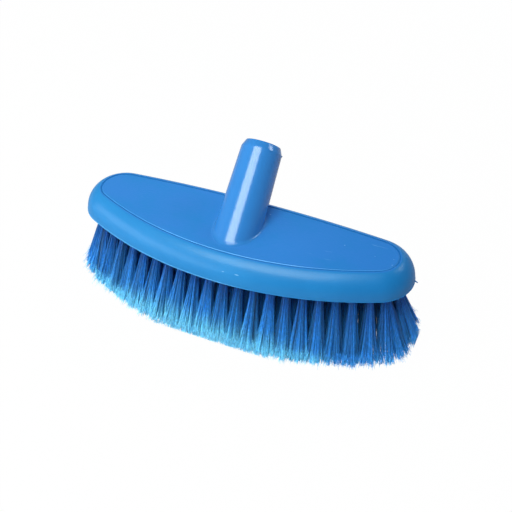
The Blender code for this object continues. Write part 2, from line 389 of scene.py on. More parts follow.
@dataclass(frozen=True)
class MouldedPlastic:
    """Satin polypropylene: a fine spark-eroded texture on the block and a glossier, drawn socket."""

    place: Vector
    top_level: float
    seam_level: float
    # Painted light and shade: the rim, the socket and the flat top are one plastic, each given its own colour
    # for how light falls on it
    colour: Colour = (0.011, 0.180, 0.480)
    socket_colour: Colour = (0.024, 0.184, 0.538)
    panel_colour: Colour = (0.027, 0.175, 0.532)
    panel_edge: float = 0.0004
    socket_edge: float = 0.0012
    flow_colour: Colour = (0.014, 0.206, 0.532)
    flow_pitch: float = 0.045
    flow_detail: float = 3.0
    flow_stretch: Stretch = (1.0, 1.6, 1.0)
    flow_mask: Span = (0.35, 0.70)
    flow_share: float = 0.6
    panel_flow_share: float = 0.5
    mottle_pitch: float = 0.0022
    mottle: float = 0.30
    panel_mottle: float = 2.0
    # Painted shade: the block's colour darkens towards its right end
    right_end_shade_tint: Colour = (0.70, 0.85, 0.90)
    right_end_shade_reach: Span = (0.0, 0.125)
    # Painted shade for the groove's floor
    groove_shade_colour: Colour = (0.004, 0.085, 0.330)
    groove_shade_share: float = 0.6
    # Painted highlight on the lip inside the groove, fading towards both ends
    lip_highlight_colour: Colour = (0.130, 0.480, 1.000)
    lip_highlight_share: float = 0.8
    lip_highlight_loss: float = 0.5
    lip_highlight_fade: Span = (0.0020, 0.0056)
    # Painted highlight along the parting line, fading towards the right end
    seam_highlight_colour: Colour = (0.150, 0.500, 0.900)
    seam_highlight_share: float = 0.45
    seam_highlight_band: float = 0.0008
    seam_highlight_fade: Span = (-0.005, 0.035)
    scuff_and_glint_colour: Colour = (0.300, 0.600, 0.900)
    scuff_pitch: float = 0.0016
    scuff_stretch: Stretch = (0.10, 0.55, 1.0)
    scuff_mask: Span = (0.66, 0.74)
    scuff_share: float = 0.14
    patch_pitch: float = 0.027
    patch_mask: Span = (0.56, 0.70)
    mark_share: float = 0.5
    marks: tuple[Mark, ...] = (
        # The two marks on the front rim are scuffs; the others, on the flat top, are painted highlights on
        # small nicks and specks
        Mark(0.0171, -0.0511, 0.0152, 0.0042, 0.0008, math.radians(3.0)),
        Mark(0.0066, -0.0516, 0.0151, 0.0026, 0.0006, math.radians(3.0)),
        Mark(0.0163, 0.0137, 0.0240, 0.0018, 0.0008),
        Mark(0.0804, 0.0015, 0.0240, 0.0011, 0.0009),
        Mark(0.1045, -0.0017, 0.0240, 0.0007, 0.0007),
        Mark(0.1179, 0.0004, 0.0240, 0.0007, 0.0007),
        Mark(0.1186, -0.0060, 0.0240, 0.0012, 0.0008, math.radians(20.0)),
        Mark(0.1212, -0.0068, 0.0238, 0.0008, 0.0008),
    )
    gloss_start: float = 0.00003
    gloss_end: float = 0.0004
    roughness: float = 0.36
    socket_roughness: float = 0.22
    roughness_spread: float = 0.14
    block_coat: float = 0.08
    socket_coat: float = 0.74
    coat_spread: float = 0.9
    coat_roughness: float = 0.16
    specular: float = 0.32
    specular_tint: Colour = (0.70, 0.93, 1.0)
    grain_pitch: float = 0.0006
    grain_depth: float = 0.000028
    pebble_pitch: float = 0.0015
    pebble_depth: float = 0.000070

    def dye_and_painted_shade(self, graph: Graph, along: Wire, level: Wire) -> bpy.types.NodeSocket:
        """The plastic's colour with painted light and shade: one plastic gets its own colour on the rim, the
        flat top and the socket, and darkens towards the right end.

        Args:
            graph: The material's nodes.
            along: The place along X.
            level: The height.

        Returns:
            The colour.
        """
        # Painted light and shade: the socket and the flat top take their own copies of the plastic's colour
        socket = level.over(self.top_level + self.panel_edge, self.top_level + self.socket_edge)
        panel = level.over(self.top_level - self.panel_edge, self.top_level) * (1.0 - socket)
        flow = graph.noise(self.flow_pitch, self.flow_detail, self.flow_stretch).over(*self.flow_mask)
        mottle = (graph.noise(self.mottle_pitch) - MEAN) * self.mottle
        colour = graph.blend(flow * self.flow_share + mottle, self.colour, self.flow_colour)
        share = flow * self.panel_flow_share + mottle * self.panel_mottle
        colour = graph.blend(panel, colour, graph.blend(share, self.panel_colour, self.colour))
        # Painted shade that darkens the block towards its right end
        colour = graph.blend(along.over(*self.right_end_shade_reach), colour, self.right_end_shade_tint, "MULTIPLY")
        return graph.blend(socket, colour, self.socket_colour)

    def line_out(
        self, graph: Graph, colour: bpy.types.NodeSocket, along: Wire, level: Wire
    ) -> bpy.types.NodeSocket:
        """Paint shade into the groove, and paint highlights on the lip inside it and on the parting line.

        The lip's painted highlight fades towards both ends of the block, and the parting line's towards the
        right one.

        Args:
            graph: The material's nodes.
            colour: The plastic's colour, with its painted light and shade.
            along: The place along X.
            level: The height.

        Returns:
            The colour with the groove's painted shade and the painted highlights on the lip and the parting
            line.
        """
        # Painted shade on the groove's floor, which the groove attribute marks
        colour = graph.blend(graph.attribute("groove") * self.groove_shade_share, colour, self.groove_shade_colour)
        # Painted highlight on the groove's inner lip, weaker towards the ends of the block
        loss = (along * along).over(*self.lip_highlight_fade) * self.lip_highlight_loss
        colour = graph.blend(graph.attribute("lip") * (self.lip_highlight_share - loss), colour, self.lip_highlight_colour)
        # Painted highlight along the parting line at the bottom of the rim
        seam_highlight = 1.0 - level.over(self.seam_level, self.seam_level + self.seam_highlight_band)
        seam_highlight = seam_highlight * (1.0 - along.over(*self.seam_highlight_fade))
        return graph.blend(seam_highlight * self.seam_highlight_share, colour, self.seam_highlight_colour)

    def wear_and_glints(self, graph: Graph) -> Wire:
        """Where the plastic is scuffed, in patches, and where the pale spots lie: scuffs, and painted
        highlights on nicks.

        Args:
            graph: The material's nodes.

        Returns:
            The share of the pale scuff colour, which also paints those highlights.
        """
        patches = graph.noise(self.patch_pitch).over(*self.patch_mask)
        scuffs = graph.noise(self.scuff_pitch, 2.0, self.scuff_stretch).over(*self.scuff_mask)
        worn = scuffs * patches * self.scuff_share
        # Pale spots: scuffs, and painted highlights on nicks
        for mark in self.marks:
            centre = self.place + Vector((mark.x, mark.y, mark.z))
            size = Vector((mark.length, mark.width, mark.width)) / 2
            worn = worn.either(graph.mark(centre, size, mark.turn) * self.mark_share)
        return worn

    def material(self) -> bpy.types.Material:
        """Build the material.

        Returns:
            The material.
        """
        graph = Graph(bpy.data.materials.new("moulded_polypropylene"))
        spot = graph.node("ShaderNodeSeparateXYZ", None, {0: graph.place()}).outputs
        along, level = Wire(graph, spot["X"]), Wire(graph, spot["Z"])
        colour = self.line_out(graph, self.dye_and_painted_shade(graph, along, level), along, level)
        grain = graph.noise(self.grain_pitch, 1.0)
        pebbles = graph.noise(self.pebble_pitch, 1.0)
        depth = self.grain_depth + self.pebble_depth
        graph.bump(grain * (self.grain_depth / depth) + pebbles * (self.pebble_depth / depth), depth)
        glossy = level.over(self.top_level + self.gloss_start, self.top_level + self.gloss_end)
        smooth = glossy * (self.roughness - self.socket_roughness)
        uneven = 1.0 + (pebbles - MEAN) * self.coat_spread
        return graph.finish(
            base_color=graph.blend(self.wear_and_glints(graph), colour, self.scuff_and_glint_colour),
            roughness=self.roughness + (grain - MEAN) * self.roughness_spread - smooth,
            coat_weight=self.block_coat + glossy * (self.socket_coat - self.block_coat) * uneven,
            coat_roughness=self.coat_roughness,
            specular_ior_level=self.specular,
            specular_tint=(*self.specular_tint, 1.0),
        )


@dataclass(frozen=True)
class SplitBristle:
    """Soft bristle, deep blue along its length, darker towards the root as painted shade, and paler where its
    tip is split into fine hairs.
    """

    # Painted shade: the bristles darken towards the root, under the block and between the tufts
    root_shade_colour: Colour = (0.005, 0.118, 0.530)
    colour: Colour = (0.027, 0.290, 0.870)
    tip_colour: Colour = (0.165, 0.680, 1.000)
    glint_colour: Colour = (0.250, 0.700, 0.950)
    root_shade_start: float = 0.20
    root_shade_end: float = 0.56
    tip_start: float = 0.58
    tip_end: float = 0.81
    glint: float = 1.25
    tone_spread: float = 0.95
    tip_evenness: float = 0.55
    tone_reach: float = 0.22
    drift_reach: float = 0.20
    worn_x: float = -0.022
    wear_curve: float = 32.0
    wear_most: float = 0.44
    # Painted highlights and shade along the crimped fibres
    crimp_shading_pitch: float = 0.0012
    crimp_shading_stretch: Stretch = (1.0, 1.0, 0.35)
    crimp_shading_spread: float = 1.3
    sheen: float = 1.0
    sheen_colour: Colour = (0.10, 0.50, 1.0)
    roughness: float = 0.42
    tip_roughness: float = 0.15
    specular: float = 0.3
    drift_pitch: float = 0.030

    def material(self) -> bpy.types.Material:
        """Build the material.

        Returns:
            The material.
        """
        graph = Graph(bpy.data.materials.new("split_bristle"))
        along = graph.attribute("tip")
        tone = graph.attribute("tone")
        drift = graph.noise(self.drift_pitch)
        spot = graph.node("ShaderNodeSeparateXYZ", None, {0: graph.place()}).outputs
        away = Wire(graph, spot["X"]) - self.worn_x
        worn = (1.0 - away * away * self.wear_curve).either(1.0 - self.wear_most)
        uneven = (MEAN - tone) * self.tone_reach + (drift - MEAN) * self.drift_reach
        stops = (
            # The root stop is painted shade near the block
            (self.root_shade_start / self.glint, self.root_shade_colour),
            (self.root_shade_end / self.glint, self.colour),
            (self.tip_start / self.glint, self.colour),
            (self.tip_end / self.glint, self.tip_colour),
            (1.0, self.glint_colour),
        )
        reach = along * (worn + uneven) / self.glint
        colour = graph.node("ShaderNodeValToRGB", {"stops": stops}, {"Fac": reach}).outputs["Color"]
        # Painted highlights and shade: noise stretched along Z lightens and darkens the fibres as if light
        # caught their crimp
        crimp_shading = (graph.noise(self.crimp_shading_pitch, 1.0, self.crimp_shading_stretch) - MEAN) * self.crimp_shading_spread
        pale = reach.over(self.tip_start / self.glint, self.tip_end / self.glint)
        spread = self.tone_spread - pale * (self.tone_spread * self.tip_evenness)
        shade = (1.0 - tone * tone * spread) * (1.0 + crimp_shading)
        grey = graph.node("ShaderNodeCombineColor", None, {channel: shade for channel in range(3)})
        return graph.finish(
            base_color=graph.blend(1.0, colour, grey.outputs[0], "MULTIPLY"),
            roughness=self.roughness + along * self.tip_roughness,
            specular_ior_level=self.specular,
            sheen_weight=self.sheen,
            sheen_tint=(*self.sheen_colour, 1.0),
        )


@dataclass(frozen=True)
class DrawnWire:
    """Drawn stainless wire, flattened a little by the staple machine."""

    colour: Colour = (0.62, 0.63, 0.65)
    roughness: float = 0.30
    roughness_spread: float = 0.15
    streak_pitch: float = 0.0004
    streak_stretch: Stretch = (0.15, 1.0, 1.0)
    streak_depth: float = 0.00001

    def material(self) -> bpy.types.Material:
        """Build the material.

        Returns:
            The material.
        """
        graph = Graph(bpy.data.materials.new("drawn_wire"))
        streaks = graph.noise(self.streak_pitch, 1.0, self.streak_stretch)
        graph.bump(streaks, self.streak_depth)
        roughness = self.roughness + streaks * self.roughness_spread
        return graph.finish(base_color=(*self.colour, 1.0), metallic=1.0, roughness=roughness)


@dataclass(frozen=True)
class Arc:
    """One arc of an outline, as it is followed anticlockwise seen from above."""

    centre: Vector
    radius: float
    start: float
    sweep: float
    rounds_end: bool = False

    @property
    def length(self) -> float:
        """Length along the arc."""
        return self.radius * self.sweep

    def at(self, distance: float) -> tuple[Vector, Vector]:
        """Point and outward direction at a distance from the arc's start.

        Args:
            distance: Distance along the arc.

        Returns:
            The point and the direction, both level.
        """
        turn = self.start + self.sweep * distance / self.length
        out = Vector((math.cos(turn), math.sin(turn), 0.0))
        return self.centre + self.radius * out, out


@dataclass(frozen=True)
class Outline:
    """The block's outline from above: one arc along each long side, run into an arc round each end."""

    length: float
    front_depth: float = 0.054
    back_depth: float = 0.0353
    end_radius: float = 0.0299

    def depth(self, side: Side) -> float:
        """Distance from the line through the ends to the middle of one long side."""
        return self.front_depth if side is Side.FRONT else self.back_depth

    def side_radius(self, side: Side) -> float:
        """Radius of one long side's arc at the widest level.

        Args:
            side: The side.

        Returns:
            The radius, for an arc that runs smoothly into the arc round each end.
        """
        bulge = self.depth(side)
        reach = self.length / 2 - self.end_radius
        return (reach ** 2 + bulge ** 2 - self.end_radius ** 2) / (2 * (bulge - self.end_radius))

    def meeting(self, side: Side) -> float:
        """Direction, from the X axis, where one long side runs into an end."""
        reach = self.length / 2 - self.end_radius
        return math.atan2(self.side_radius(side) - self.depth(side), reach)

    def arcs(self, inset: float) -> list[Arc]:
        """The outline's arcs at an inset, all the way round from the middle of the front.

        Args:
            inset: Distance inwards from the widest outline.

        Returns:
            The five arcs, with the front's arc in two halves.
        """
        front, back = self.meeting(Side.FRONT), self.meeting(Side.BACK)
        reach = Vector((self.length / 2 - self.end_radius, 0.0, 0.0))
        end = self.end_radius - inset
        front_radius = self.side_radius(Side.FRONT)
        back_radius = self.side_radius(Side.BACK)
        front_centre = Vector((0.0, front_radius - self.front_depth, 0.0))
        back_centre = Vector((0.0, self.back_depth - back_radius, 0.0))
        half = math.pi / 2 - front
        return [
            Arc(front_centre, front_radius - inset, -math.pi / 2, half),
            Arc(reach, end, -front, front + back, rounds_end=True),
            Arc(back_centre, back_radius - inset, back, math.pi - 2 * back),
            Arc(-reach, end, math.pi - back, back + front, rounds_end=True),
            Arc(front_centre, front_radius - inset, math.pi + front, half),
        ]


@dataclass(frozen=True)
class RingRow:
    """A closed row of tufts, level with the outline all the way round."""

    outline: Outline
    inset: float

    @property
    def length(self) -> float:
        """Length of the whole row."""
        return sum(arc.length for arc in self.outline.arcs(self.inset))

    def at(self, distance: float) -> tuple[Vector, Vector]:
        """Point and outward direction at a place along the row.

        Args:
            distance: Distance along the row from the middle of the front, anticlockwise.

        Returns:
            The point and the direction, both level.
        """
        left = distance % self.length
        for arc in self.outline.arcs(self.inset):
            if left <= arc.length:
                return arc.at(left)
            left -= arc.length
        # Rounding can leave a trace past the last arc, which ends where the first one starts
        return self.outline.arcs(self.inset)[0].at(0.0)


@dataclass(frozen=True)
class ArcRow:
    """An open row of tufts, level with one long side."""

    outline: Outline
    inset: float
    side: Side

    def at(self, distance: float) -> tuple[Vector, Vector]:
        """Point and outward direction at a place along the row.

        Args:
            distance: Distance along the row from its middle.

        Returns:
            The point and the direction, both level.
        """
        outer = self.outline.side_radius(self.side)
        radius = outer - self.inset
        turn = distance / radius
        out = Vector((math.sin(turn), self.side.value * math.cos(turn), 0.0))
        centre = Vector((0.0, self.side.value * (self.outline.depth(self.side) - outer), 0.0))
        return centre + radius * out, out


@dataclass(frozen=True)
class MiddleRow:
    """The straight row of tufts along the middle."""

    y: float

    def at(self, distance: float) -> tuple[Vector, Vector]:
        """Point and outward direction at a distance from the row's middle."""
        return Vector((distance, self.y, 0.0)), Vector((0.0, -1.0, 0.0))


@dataclass(frozen=True)
class Tuft:
    """Where one tuft stands on the underside, which way it leans and how wide its tip is."""

    root: Vector
    out: Vector
    lean: float
    fan_along: float
    fan_across: float

    @property
    def axis(self) -> Vector:
        """Direction of the bristles, downwards."""
        return self.out * math.sin(self.lean) - UP * math.cos(self.lean)

    @property
    def along(self) -> Vector:
        """Direction along the row."""
        return Vector((-self.out.y, self.out.x, 0.0))

    def matrix(self) -> Matrix:
        """What moves a shape round the Z axis to this tuft.

        Returns:
            The matrix, which turns the shape's -Z along the bristles and its X along the row.
        """
        up = -self.axis
        turn = Matrix((self.along, up.cross(self.along), up)).transposed().to_4x4()
        return Matrix.Translation(self.root) @ turn


@dataclass(frozen=True)
class TuftPlan:
    """The rows of tufts under the block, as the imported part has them."""

    outline: Outline
    middle_y: float
    outer_inset: float = 0.0136
    row_step: float = 0.01035
    outer_start: float = 0.0026
    outer_count: int = 44
    second_front_count: int = 20
    second_back_count: int = 18
    third_front_count: int = 16
    third_back_count: int = 11
    middle_count: int = 4
    hole_radius: float = 0.0036
    row_web: float = 0.0018
    line_step: float = 0.004
    reach_step: float = 0.0005
    splay: float = math.radians(19.0)
    length: float = 0.0497
    fan_overlap: float = 1.40
    fan_most: float = 0.0150
    fan_across: float = 0.0080

    def tuft(self, curve: RingRow | ArcRow | MiddleRow, distance: float, row: Row, pitch: float) -> Tuft:
        """One tuft on a row, whose fan reaches past the middle of the gap to its neighbours' tips.

        Args:
            curve: The row.
            distance: Where the tuft stands along it.
            row: Which row it is.
            pitch: Distance to the next tuft along the row.

        Returns:
            The tuft.
        """
        lean = self.splay * (1 - row / Row.MIDDLE)
        sides = [curve.at(distance + half) for half in (-pitch / 2, pitch / 2)]
        tips = [point + out * self.length * math.tan(lean) for point, out in sides]
        fan = min((tips[1] - tips[0]).length / 2 * self.fan_overlap, self.fan_most)
        return Tuft(*curve.at(distance), lean, fan, self.fan_across)

    def ring(self, row: Row, count: int, offset: float) -> list[Tuft]:
        """Tufts spread evenly round a closed row.

        Args:
            row: Which row it is.
            count: Number of tufts.
            offset: Place of the first tuft past the middle of the front, in pitches from it.

        Returns:
            The tufts in order.
        """
        curve = RingRow(self.outline, self.outer_inset + row * self.row_step)
        pitch = curve.length / count
        return [self.tuft(curve, (offset + index) * pitch, row, pitch) for index in range(count)]

    def fits(self, curve: ArcRow | MiddleRow, distance: float, lines: list[Vector]) -> bool:
        """Whether an open row keeps its web to the other rows when it ends at a distance.

        Args:
            curve: The row.
            distance: Distance from its middle to its last tuft.
            lines: Points along the rows that are there already.

        Returns:
            True if it does.
        """
        point, out = curve.at(distance + self.hole_radius)
        corners = [point + self.hole_radius * out, point - self.hole_radius * out]
        least = self.hole_radius + self.row_web
        return all((corner - place).length >= least for corner in corners for place in lines)

    def line(self, curve: RingRow | ArcRow | MiddleRow, start: float, end: float) -> list[Vector]:
        """Points close together along a row, from before its first tuft to past its last.

        Args:
            curve: The row.
            start: Where its first tuft stands.
            end: Where its last tuft stands.

        Returns:
            The points in order.
        """
        start -= self.hole_radius
        end += self.hole_radius
        steps = math.ceil((end - start) / self.line_step)
        return [curve.at(start + (end - start) * step / steps)[0] for step in range(steps + 1)]

    def rows(self) -> dict[str, list[Tuft]]:
        """All the rows by name, each with its tufts in order.

        Returns:
            The rows, from the outer one inwards.
        """
        ring = RingRow(self.outline, self.outer_inset + self.row_step)
        second_count = self.second_front_count + self.second_back_count
        pitch = ring.length / second_count
        first = (1 - self.second_front_count) / 2
        second = self.ring(Row.SECOND, second_count, first)
        outer_pitch = RingRow(self.outline, self.outer_inset).length / self.outer_count
        rows = {
            "outer": self.ring(Row.OUTER, self.outer_count, self.outer_start / outer_pitch),
            "second_row_front": second[:self.second_front_count],
            "second_row_back": second[self.second_front_count:],
        }
        lines = self.line(ring, first * pitch, (first + second_count - 1) * pitch)
        inset = self.outer_inset + Row.THIRD * self.row_step
        inner = [
            ("third_row_front", ArcRow(self.outline, inset, Side.FRONT), self.third_front_count, Row.THIRD),
            ("third_row_back", ArcRow(self.outline, inset, Side.BACK), self.third_back_count, Row.THIRD),
            ("middle_row", MiddleRow(self.middle_y), self.middle_count, Row.MIDDLE),
        ]
        for name, curve, count, row in inner:
            reach = 0.0
            while self.fits(curve, reach + self.reach_step, lines):
                reach += self.reach_step
            pitch = 2 * reach / (count - 1)
            rows[name] = [self.tuft(curve, index * pitch - reach, row, pitch) for index in range(count)]
            lines += self.line(curve, -reach, reach)
        return rows


@dataclass
class Piece:
    """A finished mesh of the brush and what it stands for."""

    name: str
    bm: bmesh.types.BMesh
    material: bpy.types.Material
    slot: Slot | None
    replaces: list[str] = field(default_factory=list)

    def build(self, place: Vector) -> None:
        """Make the object, move its mesh to its place and fix it to the brush.

        Args:
            place: Where the block's own frame lies in the part.
        """
        bmesh.ops.transform(self.bm, matrix=Matrix.Translation(place), verts=self.bm.verts)
        mesh = bpy.data.meshes.new(self.name)
        self.bm.to_mesh(mesh)
        self.bm.free()
        mesh.materials.append(self.material)
        mesh.shade_smooth()
        mesh.set_sharp_from_angle(angle=SHARP)
        item = bpy.data.objects.new(self.name, mesh)
        bpy.context.scene.collection.objects.link(item)
        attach(item, BODY)
        if self.replaces:
            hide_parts(*self.replaces)
        log.info("%s: %d faces", self.name, len(mesh.polygons))


@dataclass
class Moulding:
    """The one-piece moulding: block, tuft holes, groove round the flat top, and handle socket."""

    outline: Outline
    tufts: list[Tuft]
    hole_radius: float
    height: float = 0.024
    widest: float = 0.0056
    top_inset: float = 0.0120
    underside_inset: float = 0.0074
    shoulder_fullness: float = 1.34
    shoulder_steps: int = 14
    taper_steps: int = 4
    seam_reach: float = 0.00035
    seam_height: float = 0.00024
    groove_lip: float = 0.00010
    lip_run: float = 3.0
    inner_lip_run: float = 5.0
    groove_depth: float = 0.00030
    groove_wall: float = 0.00012
    groove_floor: float = 0.00127
    groove_step: float = 0.00004
    groove_width: float = 0.00165
    edge_step: float = 0.0004
    end_steps: int = 22
    side_steps: int = 34
    hole_depth: float = 0.0095
    hole_steps: int = 2
    hole_chamfer: float = 0.0003
    hole_sides: int = 18
    socket_y: float = -0.0077
    socket_tilt: float = math.radians(45.0)
    socket_length: float = 0.0639
    base_radius: float = 0.01754
    end_radius: float = 0.0159
    chamfer_length: float = 0.0054
    chamfer_width: float = 0.0024
    fillet: float = 0.0026
    fillet_front: float = 0.75
    fillet_steps: int = 7
    edge_round: float = 0.00035
    rim_ease: float = 0.2
    mouth_ease: float = 0.3
    wall_shares: tuple[float, ...] = (0.62, 0.8)
    socket_sides: int = 72
    bore_radius: float = 0.011
    bore_depth: float = 0.050
    bore_floor_share: float = 0.5
    lead_in: float = 0.0008
    thread_pitch: float = 0.005
    thread_height: float = 0.0011
    thread_flank: float = 1.1
    thread_fullness: float = 0.5
    thread_start: float = 0.004
    thread_end: float = 0.043
    thread_step: float = 0.0005

    @property
    def axis(self) -> Vector:
        """Direction of the socket, from its foot to its mouth."""
        return Vector((0.0, math.sin(self.socket_tilt), math.cos(self.socket_tilt)))

    @property
    def foot(self) -> Vector:
        """Middle of the socket's foot, on the flat top."""
        return Vector((0.0, self.socket_y, self.height))

    @property
    def slope(self) -> float:
        """How much the socket's radius shrinks per length, up to its chamfer."""
        return (self.base_radius - self.end_radius) / (self.socket_length - self.chamfer_length)

    def spoke(self, turn: float) -> Vector:
        """Direction straight away from the socket's axis, at a turn about it."""
        return math.cos(turn) * ACROSS + math.sin(turn) * self.axis.cross(ACROSS)

    def trace(self, bm: bmesh.types.BMesh) -> list[bmesh.types.BMEdge]:
        """Draw the widest outline, on the crest of the mould's parting line.

        Args:
            bm: The mesh to draw in.

        Returns:
            The edges of the closed outline.
        """
        arcs = self.outline.arcs(-self.seam_reach)
        point, _ = arcs[0].at(0.0)
        last = bm.verts.new(point + UP * (self.widest - self.seam_height / 2))
        for arc in arcs:
            steps = self.end_steps if arc.rounds_end else self.side_steps
            spun = bmesh.ops.spin(
                bm,
                geom=[last],
                cent=arc.centre,
                axis=UP,
                angle=arc.sweep,
                steps=steps,
                use_duplicate=False,
            )
            last = only(bmesh.types.BMVert, spun["geom_last"])[0]
        bmesh.ops.remove_doubles(bm, verts=bm.verts, dist=MERGE)
        return list(bm.edges)

    def shoulder(self) -> list[tuple[float, float]]:
        """Rings from the parting line over the rounded shoulder and the groove to the flat top.

        Returns:
            The inset and the height of each ring.
        """
        low = self.widest + self.seam_height
        rise = self.height - self.widest - self.seam_height
        places = [(0.0, low)]
        for step in range(1, self.shoulder_steps + 1):
            turn = math.pi / 2 * (1 - step / self.shoulder_steps)
            inset = self.top_inset * (1 - math.sin(turn) ** self.shoulder_fullness)
            places.append((inset, low + rise * math.cos(turn)))
        wall = self.top_inset + self.groove_wall
        inner = self.top_inset + self.groove_width
        floor = self.height - self.groove_depth
        return places + [
            (self.top_inset + self.groove_lip, self.height - self.groove_lip / self.lip_run),
            (wall, floor),
            (wall + self.groove_floor, floor),
            (wall + self.groove_floor + self.groove_step, floor + self.groove_step),
            (inner - self.groove_lip / self.lip_run, self.height - self.groove_lip / self.inner_lip_run),
            (inner, self.height),
            (inner + self.edge_step, self.height),
        ]

    def taper(self) -> list[tuple[float, float]]:
        """Rings from the parting line down to the underside.

        Returns:
            The inset and the height of each ring.
        """
        top = self.widest - self.seam_height
        shares = [step / self.taper_steps for step in range(self.taper_steps + 1)]
        places = [(self.underside_inset * share, top * (1 - share)) for share in shares]
        return places + [(self.underside_inset + self.edge_step, 0.0)]

    def step_in(
        self, bm: bmesh.types.BMesh, face: bmesh.types.BMFace, places: list[tuple[float, float]], up: bool
    ) -> bmesh.types.BMFace:
        """Draw a face in and along, ring by ring.

        Args:
            bm: The mesh.
            face: The flat face to start from, at the parting line's crest.
            places: The insets and heights of the rings.
            up: Whether the rings climb.

        Returns:
            The flat face that is left in the middle.
        """
        inset = -self.seam_reach
        height = face.calc_center_median().z
        sign = 1.0 if up else -1.0
        for next_inset, next_height in places:
            bmesh.ops.inset_region(
                bm,
                faces=[face],
                thickness=next_inset - inset,
                depth=(next_height - height) * sign,
                use_even_offset=True,
                use_boundary=True,
            )
            inset, height = next_inset, next_height
        return face

    def tint_groove(self, bm: bmesh.types.BMesh) -> None:
        """Note at each point whether it lies on the groove's floor, and whether on the lip inside it, where
        the material paints shade and a highlight.

        Args:
            bm: The mesh.
        """
        groove = bm.verts.layers.float.new("groove")
        lip = bm.verts.layers.float.new("lip")
        floor = self.height - self.groove_depth
        edges = (floor + self.groove_step, self.height - self.groove_lip / self.inner_lip_run)
        for vert in bm.verts:
            vert[groove] = float(abs(vert.co.z - floor) < MERGE)
            vert[lip] = float(any(abs(vert.co.z - edge) < MERGE for edge in edges))

    def open_face(self, bm: bmesh.types.BMesh, face: bmesh.types.BMFace) -> list[bmesh.types.BMEdge]:
        """Take a face away.

        Args:
            bm: The mesh.
            face: The face.

        Returns:
            The open edges that were round it.
        """
        edges = list(face.edges)
        bmesh.ops.delete(bm, geom=[face], context="FACES_ONLY")
        return edges

    def drill(self, bm: bmesh.types.BMesh, edges: list[bmesh.types.BMEdge]) -> None:
        """Fill the underside round one hole for each tuft, and sink the holes.

        Args:
            bm: The mesh.
            edges: The open edge of the underside.
        """
        wide = self.hole_radius + self.hole_chamfer
        steps = [(self.hole_chamfer, self.hole_radius / wide)]
        steps += [(self.hole_depth / self.hole_steps, 1.0)] * self.hole_steps
        rims = []
        for tuft in self.tufts:
            turn = tuft.matrix().to_3x3().to_4x4()
            circle = bmesh.ops.create_circle(bm, segments=self.hole_sides, radius=wide, matrix=turn)["verts"]
            for vert in circle:
                vert.co -= tuft.axis * (vert.co.z / tuft.axis.z)
                vert.co += tuft.root
            rims.append((tuft, list({edge for vert in circle for edge in vert.link_edges})))
        loose = edges + [edge for _, rim in rims for edge in rim]
        bmesh.ops.triangle_fill(bm, use_beauty=True, edges=loose, normal=-UP)
        for tuft, rim in rims:
            for depth, scale in steps:
                grown = bmesh.ops.extrude_edge_only(bm, edges=rim)["geom"]
                verts = only(bmesh.types.BMVert, grown)
                rim = only(bmesh.types.BMEdge, grown)
                middle = sum((vert.co for vert in verts), Vector()) / len(verts)
                for vert in verts:
                    vert.co = middle + (vert.co - middle) * scale - tuft.axis * depth
            rim = [edge for edge in rim if edge.is_boundary]
            bmesh.ops.contextual_create(bm, geom=rim)

    def fillet_rings(self, spokes: list[Vector]) -> list[list[Vector]]:
        """Rings round the fillet at the socket's foot, which reaches further at the front.

        Args:
            spokes: Directions straight away from the socket's axis, one for each point of a ring.

        Returns:
            The rings, from the flat top inwards and up the socket's wall.
        """
        foot = self.foot
        walls = [(self.axis - self.slope * spoke).normalized() for spoke in spokes]
        starts = [foot + self.base_radius * spoke for spoke in spokes]
        feet = [point - wall * ((point.z - foot.z) / wall.z) for point, wall in zip(starts, walls)]
        outer = []
        upper = []
        for index, point in enumerate(feet):
            along = feet[(index + 1) % self.socket_sides] - feet[index - 1]
            away = Vector((along.y, -along.x, 0.0)).normalized()
            away *= math.copysign(1.0, away.dot(point - foot))
            reach = self.fillet * (1 + self.fillet_front * max(0.0, -away.y) ** 2)
            outer.append(point + away * reach)
            upper.append(point + walls[index] * reach)
        rings = [
            [point + (point - corner).normalized() * self.edge_step for point, corner in zip(outer, feet)]
        ]
        for step in range(self.fillet_steps + 1):
            share = step / self.fillet_steps
            rings.append([
                first * (1 - share) ** 2 + corner * 2 * share * (1 - share) + last * share ** 2
                for first, corner, last in zip(outer, feet, upper)
            ])
        return rings

    def socket_rings(self) -> list[list[Vector]]:
        """Rings of the socket: round the fillet at its foot, over its chamfered end and down its bore.

        Returns:
            The rings, each with its points in the same order.
        """
        foot, axis = self.foot, self.axis
        turns = [2 * math.pi * index / self.socket_sides for index in range(self.socket_sides)]
        spokes = [self.spoke(turn) for turn in turns]
        rings = self.fillet_rings(spokes)
        for level, radius in self.socket_profile():
            rings.append([foot + axis * level + radius * spoke for spoke in spokes])
        for depth in self.thread_depths():
            centre = foot + axis * (self.socket_length - depth)
            radii = [self.thread_radius(depth, turn) for turn in turns]
            rings.append([centre + radius * spoke for spoke, radius in zip(spokes, radii)])
        bottom = foot + axis * (self.socket_length - self.bore_depth)
        for radius in (self.bore_radius, self.bore_radius * self.bore_floor_share):
            rings.append([bottom + radius * spoke for spoke in spokes])
        return rings

